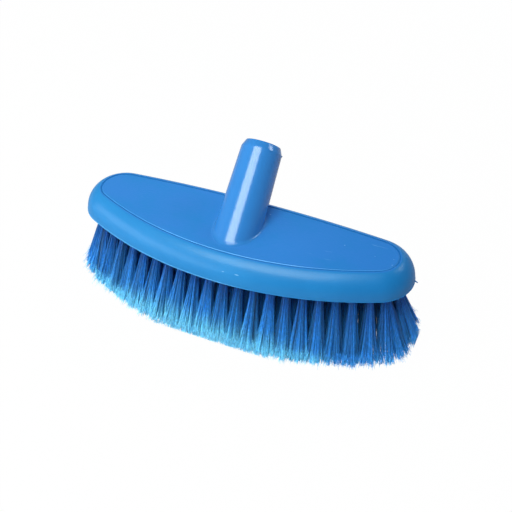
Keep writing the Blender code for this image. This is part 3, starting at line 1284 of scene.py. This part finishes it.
    def socket_profile(self) -> list[tuple[float, float]]:
        """The socket's outline along its wall, over its chamfer and across its flat rim into the bore.

        Returns:
            Levels above the foot, each with its radius.
        """
        body = self.socket_length - self.chamfer_length
        slope = self.slope
        rim = self.end_radius - self.chamfer_width
        mouth = self.bore_radius + self.lead_in
        tilt = math.atan2(self.chamfer_width, self.chamfer_length)
        soft = self.edge_round
        levels = [(body * share, self.base_radius - slope * body * share) for share in self.wall_shares]
        return levels + [
            (body - 2 * soft, self.end_radius + slope * 2 * soft),
            (body - soft, self.end_radius + slope * soft),
            (body + soft * math.cos(tilt), self.end_radius - soft * math.sin(tilt)),
            (body + 2 * soft * math.cos(tilt), self.end_radius - 2 * soft * math.sin(tilt)),
            (self.socket_length - soft, rim + soft * math.tan(tilt)),
            (self.socket_length - soft * self.rim_ease, rim - soft * self.rim_ease),
            (self.socket_length, rim - soft),
            (self.socket_length, mouth + soft),
            (self.socket_length - soft * self.mouth_ease, mouth),
            (self.socket_length - self.lead_in, self.bore_radius),
        ]

    def thread_depths(self) -> list[float]:
        """Depths of the bore's rings below its mouth."""
        steps = round((self.thread_end - 2 * self.lead_in) / self.thread_step)
        return [2 * self.lead_in + step * self.thread_step for step in range(steps + 1)]

    def thread_radius(self, depth: float, turn: float) -> float:
        """Radius of the threaded bore at one depth and direction.

        Args:
            depth: Distance below the mouth.
            turn: Direction round the axis.

        Returns:
            The radius, smaller on the thread's crest.
        """
        phase = 2 * math.pi * depth / self.thread_pitch - turn
        crest = min(1.0, max(0.0, self.thread_fullness + self.thread_flank * math.cos(phase)))
        past, left = depth - self.thread_start, self.thread_end - depth
        fade = min(1.0, past / self.thread_pitch, left / self.thread_pitch)
        return self.bore_radius - self.thread_height * crest * max(0.0, fade)

    def raise_socket(self, bm: bmesh.types.BMesh, edges: list[bmesh.types.BMEdge]) -> None:
        """Fill the flat top round the socket's foot, and raise the socket ring by ring.

        Args:
            bm: The mesh.
            edges: The open edge of the flat top.
        """
        spoke = bm.verts.layers.int.new("spoke")
        rings = self.socket_rings()
        circle = bmesh.ops.create_circle(bm, segments=self.socket_sides, radius=self.base_radius)["verts"]
        for index, vert in enumerate(circle):
            vert[spoke] = index
            vert.co = rings[0][index]
        ring = list({edge for vert in circle for edge in vert.link_edges})
        bmesh.ops.triangle_fill(bm, use_beauty=True, edges=edges + ring, normal=UP)
        for places in rings[1:]:
            grown = bmesh.ops.extrude_edge_only(bm, edges=ring)["geom"]
            for vert in only(bmesh.types.BMVert, grown):
                vert.co = places[vert[spoke]]
            ring = [edge for edge in only(bmesh.types.BMEdge, grown) if edge.is_boundary]
        bmesh.ops.contextual_create(bm, geom=ring)

    def build(self) -> bmesh.types.BMesh:
        """Build the whole moulding as one closed surface.

        Returns:
            The mesh, in the block's own frame.
        """
        bm = bmesh.new()
        base = bmesh.ops.contextual_create(bm, geom=self.trace(bm))["faces"][0]
        grown = bmesh.ops.extrude_face_region(bm, geom=[base], use_keep_orig=True)["geom"]
        lid = only(bmesh.types.BMFace, grown)[0]
        bmesh.ops.translate(bm, vec=UP * self.seam_height, verts=lid.verts)
        bmesh.ops.recalc_face_normals(bm, faces=bm.faces)
        lid = self.step_in(bm, lid, self.shoulder(), True)
        base = self.step_in(bm, base, self.taper(), False)
        self.tint_groove(bm)
        self.drill(bm, self.open_face(bm, base))
        self.raise_socket(bm, self.open_face(bm, lid))
        bmesh.ops.recalc_face_normals(bm, faces=bm.faces)
        return bm


@dataclass
class MouldBurrs:
    """Two burrs from the mould: one at the parting line's end, one where the socket's chamfer starts."""

    moulding: Moulding
    sides: int = 8
    nub_y: float = 0.0050
    nub_length: float = 0.0032
    nub_radius: float = 0.00062
    nub_point: float = 0.00034
    nub_drop: float = math.radians(24.0)
    nub_sunk: float = 0.0007
    burr_turn: float = math.radians(15.0)
    burr_radius: float = 0.0007
    burr_depth: float = 0.0002

    def build(self) -> bmesh.types.BMesh:
        """Make both burrs.

        Returns:
            The mesh, in the block's own frame, with each burr's foot inside the moulding.
        """
        part = self.moulding
        bm = bmesh.new()
        end = part.outline.end_radius
        turn = math.asin(self.nub_y / end)
        foot = Vector((part.outline.length / 2 - end + end * math.cos(turn), self.nub_y, part.widest))
        ahead = Vector((math.cos(self.nub_drop), 0.0, -math.sin(self.nub_drop)))
        place = Matrix.Translation(foot + ahead * (self.nub_length / 2 - self.nub_sunk))
        bmesh.ops.create_cone(
            bm,
            cap_ends=True,
            segments=self.sides,
            radius1=self.nub_radius,
            radius2=self.nub_point,
            depth=self.nub_length,
            matrix=place @ ahead.to_track_quat("Z", "Y").to_matrix().to_4x4(),
        )
        corner = part.foot + part.axis * (part.socket_length - part.chamfer_length)
        spot = corner + part.spoke(self.burr_turn) * (part.end_radius - self.burr_depth)
        place = Matrix.Translation(spot)
        bmesh.ops.create_icosphere(bm, subdivisions=2, radius=self.burr_radius, matrix=place)
        bmesh.ops.recalc_face_normals(bm, faces=bm.faces)
        return bm


@dataclass(frozen=True)
class TuftFill:
    """How one tuft is filled with bristles, and how late they flare along their length."""

    strands: int
    splits: int
    flare: float


@dataclass(frozen=True)
class Lock:
    """A lock of a tuft, which the bristles near it lean to."""

    place: Vector
    tone: float
    cut: float


@dataclass
class Fibre:
    """Places along one bristle or hair, the share of the bristle's length at each, and its tone."""

    places: list[Vector]
    shares: Sequence[float]
    tone: float


@dataclass
class BristleMaker:
    """Makes the bristles of a tuft, bunched at the root, flared below and split at the tips."""

    plan: TuftPlan
    low: Vector
    high: Vector
    sides: int = 3
    root_radius: float = 0.0029
    root_hold: float = 0.9
    sunk: float = 0.007
    root_width: float = 0.00042
    tip_width: float = 0.00036
    split_width: float = 0.00028
    split_taper: float = 0.7
    split_length: float = 0.0100
    split_least: float = 0.5
    split_stray: float = 0.0018
    split_rise: float = 0.3
    split_bow: float = 0.15
    split_shares: tuple[float, ...] = (0.92, 1.04, 1.15)
    split_tone: float = 0.5
    locks: int = 32
    lock_hold: float = 0.42
    lock_cut: float = 0.0004
    lock_tone: float = 0.6
    own_tone: float = 0.4
    even_fan: float = 0.0104
    out_fan: float = 0.0085
    worn_fan: float = 0.0038
    worn_from: float = 0.2
    worn_over: float = 0.3
    bow: float = 0.0006
    tip_stray: float = 0.0011
    wild_share: float = 0.025
    wild_stray: float = 0.0050
    cut_spread: float = 0.00035
    short_share: float = 0.08
    short_most: float = 0.0035
    levels: tuple[float, ...] = (0.0, 0.2, 0.42, 0.64, 0.84, 1.0)
    margin: float = 0.0003
    crowding: float = 0.0010

    def disc(self, rng: random.Random, radius: float) -> Vector:
        """A random point in a disc.

        Args:
            rng: Source of the random draws.
            radius: The disc's radius.

        Returns:
            The point, in the plane of the disc.
        """
        turn = rng.uniform(0.0, 2 * math.pi)
        reach = radius * math.sqrt(rng.random())
        return Vector((reach * math.cos(turn), reach * math.sin(turn)))

    def spread(self, fan: float, flare: float, share: float) -> float:
        """How much wider a tuft is at a share of its length than at its root, for one fan."""
        return 1 + (fan / self.root_radius - 1) * share ** (flare * min(1.0, self.even_fan / fan))

    def fan_out(self, tuft: Tuft) -> float:
        """How far a tuft's tip reaches outwards from its middle, less at the end that is worn straight."""
        worn = min(1.0, max(0.0, -tuft.out.x - self.worn_from) / self.worn_over)
        return self.out_fan * (1 - worn) + self.worn_fan * worn

    def room(self, tuft: Tuft) -> float:
        """Room for a tuft's tip up to the side of the part's box.

        Args:
            tuft: The tuft.

        Returns:
            Distance outwards from the middle of its tip, with some for tips that crowd at the side.
        """
        tip = tuft.root + tuft.axis * self.plan.length / math.cos(tuft.lean)
        gaps = []
        for axis in (0, 1):
            side = self.high if tuft.out[axis] > 0 else self.low
            if abs(tuft.out[axis]) > MERGE:
                gaps.append((side[axis] - tip[axis]) / tuft.out[axis])
        return min(gaps) + self.crowding

    def bristle(self, tuft: Tuft, locks: list[Lock], flare: float, rng: random.Random) -> Fibre:
        """Lay out one bristle, which leans towards the nearest of its tuft's locks.

        Args:
            tuft: The tuft that it stands in.
            locks: The tuft's locks.
            flare: How late the tuft flares.
            rng: Source of the random draws.

        Returns:
            The bristle, from inside the hole to its tip.
        """
        own = self.disc(rng, self.root_radius)
        lock = min(locks, key=lambda near: (near.place - own).length)
        held = own.lerp(lock.place, self.lock_hold)
        bow = self.disc(rng, self.bow)
        wild = self.wild_stray if rng.random() < self.wild_share else self.tip_stray
        stray = self.disc(rng, wild)
        cut = lock.cut + abs(rng.gauss(0.0, self.cut_spread))
        if rng.random() < self.short_share:
            cut += rng.uniform(0.0, self.short_most)
        level = Vector(tuft.axis.cross(tuft.along))
        across = min(self.fan_out(tuft), self.room(tuft)) if own.y > 0 else tuft.fan_across
        end = held.y * self.spread(across, flare, 1.0) + stray.y
        length = (self.plan.length - cut + end * level.z) / math.cos(tuft.lean)
        hold = self.root_hold
        places = [tuft.root + own.x * hold * tuft.along + own.y * hold * level - tuft.axis * self.sunk]
        for share in self.levels:
            flat = own * (1 - share) + held * share
            flat.x *= self.spread(tuft.fan_along, flare, share)
            flat.y *= self.spread(across, flare, share)
            flat += bow * math.sin(math.pi * share) + stray * share * share
            places.append(tuft.root + flat.x * tuft.along + flat.y * level + tuft.axis * length * share)
        tone = lock.tone * self.lock_tone + rng.random() * self.own_tone
        return Fibre(self.keep_in(places), (0.0, *self.levels), tone)

    def hair(self, bristles: list[Fibre], rng: random.Random) -> Fibre:
        """Lay out one fine hair, split off the tip of a bristle.

        Args:
            bristles: The tuft's bristles.
            rng: Source of the random draws.

        Returns:
            The hair, from where it leaves its bristle to its end.
        """
        *_, above, tip = rng.choice(bristles).places
        length = self.split_length * rng.uniform(self.split_least, 1.0)
        run = tip - above
        start = tip - run.normalized() * min(length, run.length)
        stray = Vector((rng.gauss(0, 1), rng.gauss(0, 1), rng.gauss(0, self.split_rise)))
        end = tip + stray * self.split_stray
        middle = (start + end) / 2 + (end - tip) * self.split_bow
        return Fibre(self.keep_in([start, middle, end]), self.split_shares, self.split_tone * rng.random())

    def keep_in(self, places: list[Vector]) -> list[Vector]:
        """Hold places a little inside the sides of the part's box.

        Args:
            places: The places.

        Returns:
            The places, moved in where they would reach too far.
        """
        margin = Vector((self.margin, self.margin, 0.0))
        low, high = self.low + margin, self.high - margin
        return [
            Vector(min(max(place[axis], low[axis]), high[axis]) for axis in range(3)) for place in places
        ]

    def draw(
        self, bm: bmesh.types.BMesh, fibres: list[Fibre], first: float, last: float, rng: random.Random
    ) -> None:
        """Draw fibres along their places, with a few flat sides each.

        Args:
            bm: The mesh.
            fibres: The fibres, all with the same number of places.
            first: Thickness at the first place.
            last: Thickness at the last place.
            rng: Source of the random draws.
        """
        tip = bm.verts.layers.float.get("tip") or bm.verts.layers.float.new("tip")
        tone = bm.verts.layers.float.get("tone") or bm.verts.layers.float.new("tone")
        strand = bm.faces.layers.int.get("strand") or bm.faces.layers.int.new("strand")
        made = bmesh.ops.create_circle(bm, cap_ends=True, segments=self.sides, radius=first / 2)["verts"]
        faces = [made[0].link_faces[0]]
        while len(faces) < len(fibres):
            copied = bmesh.ops.duplicate(bm, geom=faces[:len(fibres) - len(faces)])["geom"]
            faces += only(bmesh.types.BMFace, copied)
        corners = [vert.co.copy() for vert in faces[0].verts]
        turns = [Matrix.Rotation(rng.uniform(0.0, 2 * math.pi), 3, "Z") for _ in fibres]
        rings = [[turn @ corner for corner in corners] for turn in turns]
        for number, face in enumerate(faces):
            face[strand] = number
        count = len(fibres[0].places)
        for step in range(count):
            if step:
                faces = bmesh.ops.extrude_discrete_faces(bm, faces=faces)["faces"]
            scale = 1 + (last / first - 1) * step / (count - 1)
            for face in faces:
                fibre = fibres[face[strand]]
                for vert, corner in zip(face.verts, rings[face[strand]]):
                    vert.co = fibre.places[step] + corner * scale
                    vert[tip] = fibre.shares[step]
                    vert[tone] = fibre.tone

    def fill(self, tuft: Tuft, amount: TuftFill, rng: random.Random) -> bpy.types.Mesh:
        """Make all the bristles of one tuft.

        Args:
            tuft: The tuft.
            amount: How many bristles it holds.
            rng: Source of the random draws.

        Returns:
            A mesh in the block's own frame.
        """
        locks = [
            Lock(self.disc(rng, self.root_radius), rng.random(), abs(rng.gauss(0.0, self.lock_cut)))
            for _ in range(self.locks)
        ]
        bristles = [self.bristle(tuft, locks, amount.flare, rng) for _ in range(amount.strands)]
        hairs = [self.hair(bristles, rng) for _ in range(amount.splits)]
        bm = bmesh.new()
        self.draw(bm, bristles, self.root_width, self.tip_width, rng)
        self.draw(bm, hairs, self.split_width, self.split_width * self.split_taper, rng)
        bmesh.ops.holes_fill(bm, edges=bm.edges, sides=self.sides)
        bmesh.ops.recalc_face_normals(bm, faces=bm.faces)
        mesh = bpy.data.meshes.new("tuft")
        bm.to_mesh(mesh)
        bm.free()
        return mesh

    def bunch(self, tufts: Iterable[Tuft], amount: TuftFill, rng: random.Random) -> bmesh.types.BMesh:
        """Make the bristles of several tufts as one mesh.

        Args:
            tufts: The tufts.
            amount: How many bristles each holds.
            rng: Source of the random draws.

        Returns:
            The mesh, in the block's own frame.
        """
        bm = bmesh.new()
        for tuft in tufts:
            mesh = self.fill(tuft, amount, rng)
            bm.from_mesh(mesh)
            bpy.data.meshes.remove(mesh)
        return bm


@dataclass
class StapleMaker:
    """Makes the bent wire staples that hold the folded tufts at the bottom of their holes."""

    depth: float = 0.0078
    width: float = 0.0030
    leg: float = 0.0012
    wire: float = 0.00028
    sides: int = 5
    steps: int = 6

    def bunch(self, tufts: Iterable[Tuft]) -> bmesh.types.BMesh:
        """Bend one staple for each tuft.

        Args:
            tufts: The tufts.

        Returns:
            The staples as one mesh, in the block's own frame.
        """
        bm = bmesh.new()
        for tuft in tufts:
            self.bend(bm, tuft.matrix())
        bmesh.ops.recalc_face_normals(bm, faces=bm.faces)
        return bm

    def bend(self, bm: bmesh.types.BMesh, place: Matrix) -> None:
        """Bend one staple round an arch and draw out its legs.

        Args:
            bm: The mesh.
            place: Where the tuft stands.
        """
        known = set(bm.verts)
        start = Matrix.Translation(Vector((self.width / 2, 0.0, self.depth)))
        made = bmesh.ops.create_circle(bm, cap_ends=True, segments=self.sides, radius=self.wire, matrix=start)
        ring = made["verts"]
        spun = bmesh.ops.spin(
            bm,
            geom=[ring[0].link_faces[0]],
            cent=(0.0, 0.0, self.depth),
            axis=(0.0, -1.0, 0.0),
            angle=math.pi,
            steps=self.steps,
            use_duplicate=False,
        )
        last = only(bmesh.types.BMFace, spun["geom_last"])
        for vert in {vert for face in last for vert in face.verts} | set(ring):
            vert.co.z -= self.leg
        bmesh.ops.transform(bm, matrix=place, verts=[vert for vert in bm.verts if vert not in known])


@dataclass(frozen=True)
class PhotoCamera:
    """A camera that looks at the block from the photograph's angle.

    Its scale is the pixels that a metre fills in the picture at the block's distance.
    """

    turn: float = -0.4056368
    elevation: float = 0.7073045
    roll: float = 0.0049073
    distance: float = 0.66433
    shift_right: float = -0.0094215
    shift_up: float = 0.0097046
    pixels_per_metre: float = 1285.2679
    image_size: float = 512.0
    sensor: float = 36.0

    def build(self, place: Vector) -> None:
        """Place the camera.

        Args:
            place: Where the block's own frame lies in the part.
        """
        level = math.cos(self.elevation)
        ahead = Vector((math.sin(self.turn) * level, math.cos(self.turn) * level, -math.sin(self.elevation)))
        right = Vector((math.cos(self.turn), -math.sin(self.turn), 0.0))
        up = right.cross(ahead)
        across = math.cos(self.roll) * right + math.sin(self.roll) * up
        above = math.cos(self.roll) * up - math.sin(self.roll) * right
        data = bpy.data.cameras.new("photo_camera")
        data.sensor_width = self.sensor
        data.lens = self.pixels_per_metre * self.distance / self.image_size * self.sensor
        camera = bpy.data.objects.new("photo_camera", data)
        spot = place - self.distance * ahead - self.shift_right * across - self.shift_up * above
        turn = Matrix((across, above, -ahead)).transposed().to_4x4()
        camera.matrix_world = Matrix.Translation(spot) @ turn
        bpy.context.scene.collection.objects.link(camera)
        bpy.context.scene.camera = camera


@dataclass(frozen=True)
class Softbox:
    """A flat studio lamp that faces the brush, from an azimuth past the front and an elevation."""

    name: str
    azimuth: float
    elevation: float
    width: float
    height: float
    power: float
    distance: float = 1.5
    roll: float = 0.0
    colour: Colour = (1.0, 1.0, 1.0)
    mirrored: bool = True

    def build(self, aim: Vector) -> None:
        """Hang the lamp.

        Args:
            aim: What it faces.
        """
        level = math.cos(self.elevation)
        ahead = Vector((math.sin(self.azimuth) * level, -math.cos(self.azimuth) * level, 0.0))
        back = ahead + UP * math.sin(self.elevation)
        data = bpy.data.lights.new(self.name, "AREA")
        data.shape = "RECTANGLE"
        data.size = self.width
        data.size_y = self.height
        data.energy = self.power
        data.color = self.colour
        lamp = bpy.data.objects.new(self.name, data)
        lamp.visible_glossy = self.mirrored
        turn = back.to_track_quat("Z", "Y").to_matrix().to_4x4() @ Matrix.Rotation(self.roll, 4, "Z")
        lamp.matrix_world = Matrix.Translation(aim + back * self.distance) @ turn
        bpy.context.scene.collection.objects.link(lamp)


@dataclass(frozen=True)
class Studio:
    """Plain soft light, a white background and a pale floor that keeps the shadow."""

    ambient: float = 0.10
    mirrored: float = 0.15
    ambient_colour: Colour = (0.70, 0.84, 1.0)
    white_up_to: float = 0.35
    dim_from: float = 0.60
    overhead: float = 0.35
    floor_size: float = 12.0
    floor_colour: Colour = (0.60, 0.63, 0.68)
    floor_patch: Colour = (0.64, 0.67, 0.72)
    floor_glow: float = 0.98
    floor_dim: float = 0.6
    floor_pitch: float = 0.8
    floor_mask: Span = (0.2, 0.8)
    floor_roughness: float = 0.9
    floor_cells: int = 4
    lamps: tuple[Softbox, ...] = (
        Softbox(
            "key", math.radians(-10.5), math.radians(56.5), 1.08, 0.70, 19.0,
            roll=math.radians(5.0), colour=(1.0, 0.98, 0.86),
        ),
        Softbox(
            "side", math.radians(-62.0), math.radians(40.0), 1.87, 1.33, 7.0,
            distance=1.0, colour=(1.0, 1.0, 0.88), mirrored=False,
        ),
        Softbox("fill", math.radians(-45.0), math.radians(12.0), 1.60, 0.60, 9.0),
        Softbox("top", math.radians(-10.0), math.radians(79.0), 0.80, 0.36, 5.0),
        Softbox("back", math.radians(130.0), math.radians(38.0), 0.45, 0.40, 3.6),
        Softbox("rear", math.radians(185.0), math.radians(15.0), 1.60, 0.50, 13.0, mirrored=False),
    )

    def light_world(self) -> None:
        """A white surround that dims overhead, where it is seen, and a soft even light on the brush."""
        world = bpy.data.worlds.new("studio")
        bpy.context.scene.world = world
        graph = Graph(world)
        directions = graph.node("ShaderNodeTexCoord").outputs["Generated"]
        height = Wire(graph, graph.node("ShaderNodeSeparateXYZ", None, {0: directions}).outputs["Z"])
        strength = 1.0 - height.over(self.white_up_to, self.dim_from) * (1.0 - self.overhead)
        white = graph.node("ShaderNodeBackground", None, {"Color": WHITE, "Strength": strength})
        soft_colour = (*self.ambient_colour, 1.0)
        soft = graph.node("ShaderNodeBackground", None, {"Color": soft_colour, "Strength": self.ambient})
        share = graph.seen(self.mirrored)
        mix = graph.node("ShaderNodeMixShader", None, {0: share, 1: soft.outputs[0], 2: white.outputs[0]})
        graph.feed(graph.tree.nodes["World Output"].inputs["Surface"], mix.outputs[0])

    def lay_floor(self) -> None:
        """A pale floor, nearly white to the camera apart from the shadow, and clear from below."""
        graph = Graph(bpy.data.materials.new("studio_floor"))
        drift = graph.noise(self.floor_pitch, 1.0).over(*self.floor_mask)
        shade = graph.blend(drift, self.floor_colour, self.floor_patch)
        glossy = Wire(graph, graph.node("ShaderNodeLightPath").outputs["Is Glossy Ray"])
        shade = graph.blend(glossy * self.floor_dim, shade, (0.0, 0.0, 0.0))
        graph.finish(base_color=shade, roughness=self.floor_roughness, specular_ior_level=0.0)
        glow = graph.node("ShaderNodeEmission", None, {"Color": WHITE, "Strength": 1.0})
        lit = graph.shader.outputs["BSDF"]
        share = graph.seen(self.mirrored) * self.floor_glow
        top = graph.node("ShaderNodeMixShader", None, {0: share, 1: lit, 2: glow.outputs[0]})
        clear = graph.node("ShaderNodeBsdfTransparent")
        below = graph.node("ShaderNodeNewGeometry").outputs["Backfacing"]
        mix = graph.node("ShaderNodeMixShader", None, {0: below, 1: top.outputs[0], 2: clear.outputs[0]})
        graph.feed(graph.tree.nodes["Material Output"].inputs["Surface"], mix.outputs[0])
        bm = bmesh.new()
        cells = self.floor_cells
        bmesh.ops.create_grid(bm, x_segments=cells, y_segments=cells, size=self.floor_size / 2)
        mesh = bpy.data.meshes.new("studio_floor")
        bm.to_mesh(mesh)
        bm.free()
        mesh.materials.append(graph.owner)
        floor = bpy.data.objects.new("studio_floor", mesh)
        bpy.context.scene.collection.objects.link(floor)

    def build(self, aim: Vector) -> None:
        """Set the light and the floor round the brush.

        Args:
            aim: What the lamps face.
        """
        self.light_world()
        self.lay_floor()
        for lamp in self.lamps:
            lamp.build(aim)
        bpy.context.scene.view_settings.view_transform = "Standard"


@dataclass
class WashBrush:
    """The whole brush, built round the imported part."""

    outer_fill: TuftFill = TuftFill(strands=340, splits=600, flare=1.60)
    inner_fill: TuftFill = TuftFill(strands=180, splits=120, flare=0.80)
    seed: int = 7
    place: Vector = field(init=False)
    outline: Outline = field(init=False)
    plan: TuftPlan = field(init=False)
    rows: dict[str, list[Tuft]] = field(init=False)

    def __post_init__(self) -> None:
        """Read the block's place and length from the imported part, and plan the tufts."""
        low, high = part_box(BLOCK_NODE)
        self.outline = Outline(high.x - low.x)
        self.place = Vector(((low.x + high.x) / 2, low.y + self.outline.front_depth, low.z))
        middle = (self.outline.back_depth - self.outline.front_depth) / 2
        self.plan = TuftPlan(self.outline, middle)
        self.rows = self.plan.rows()

    @property
    def tufts(self) -> list[Tuft]:
        """All the tufts, row by row."""
        return [tuft for row in self.rows.values() for tuft in row]

    def build_block(self) -> None:
        """Make the moulding and its burrs."""
        moulding = Moulding(self.outline, self.tufts, self.plan.hole_radius)
        levels = (self.place.z + moulding.height, self.place.z + moulding.widest)
        plastic = MouldedPlastic(self.place, *levels).material()
        Piece("moulded_block", moulding.build(), plastic, Slot.BLOCK, [BLOCK_NODE]).build(self.place)
        Piece("mould_burrs", MouldBurrs(moulding).build(), plastic, Slot.BLOCK).build(self.place)

    def build_bristles(self) -> None:
        """Make the bristles: one piece for each outer tuft and one for each inner row."""
        low, high = (Vector(corner) - self.place for corner in CAD_BOX)
        maker = BristleMaker(self.plan, low, high)
        material = SplitBristle().material()
        rng = random.Random(self.seed)
        bunches = [
            (f"outer_bristles_{number:02d}", f"outer_tuft_{number:02d}", [tuft], self.outer_fill)
            for number, tuft in enumerate(self.rows["outer"], start=1)
        ]
        bunches += [
            (f"{name}_bristles", f"{name}_tufts", tufts, self.inner_fill)
            for name, tufts in self.rows.items() if name != "outer"
        ]
        for name, node, tufts, amount in bunches:
            shape = maker.bunch(tufts, amount, rng)
            Piece(name, shape, material, Slot.BRISTLE, [node]).build(self.place)

    def build_staples(self) -> None:
        """Make the staples."""
        staples = StapleMaker().bunch(self.tufts)
        Piece("tuft_staples", staples, DrawnWire().material(), None).build(self.place)


def main() -> None:
    """Build the brush, the studio and the camera, and note the sizes."""
    logging.basicConfig(level=logging.INFO, format="%(message)s")
    brush = WashBrush()
    brush.build_block()
    brush.build_bristles()
    brush.build_staples()
    PhotoCamera().build(brush.place)
    Studio().build(brush.place)


if __name__ == "__main__":
    main()
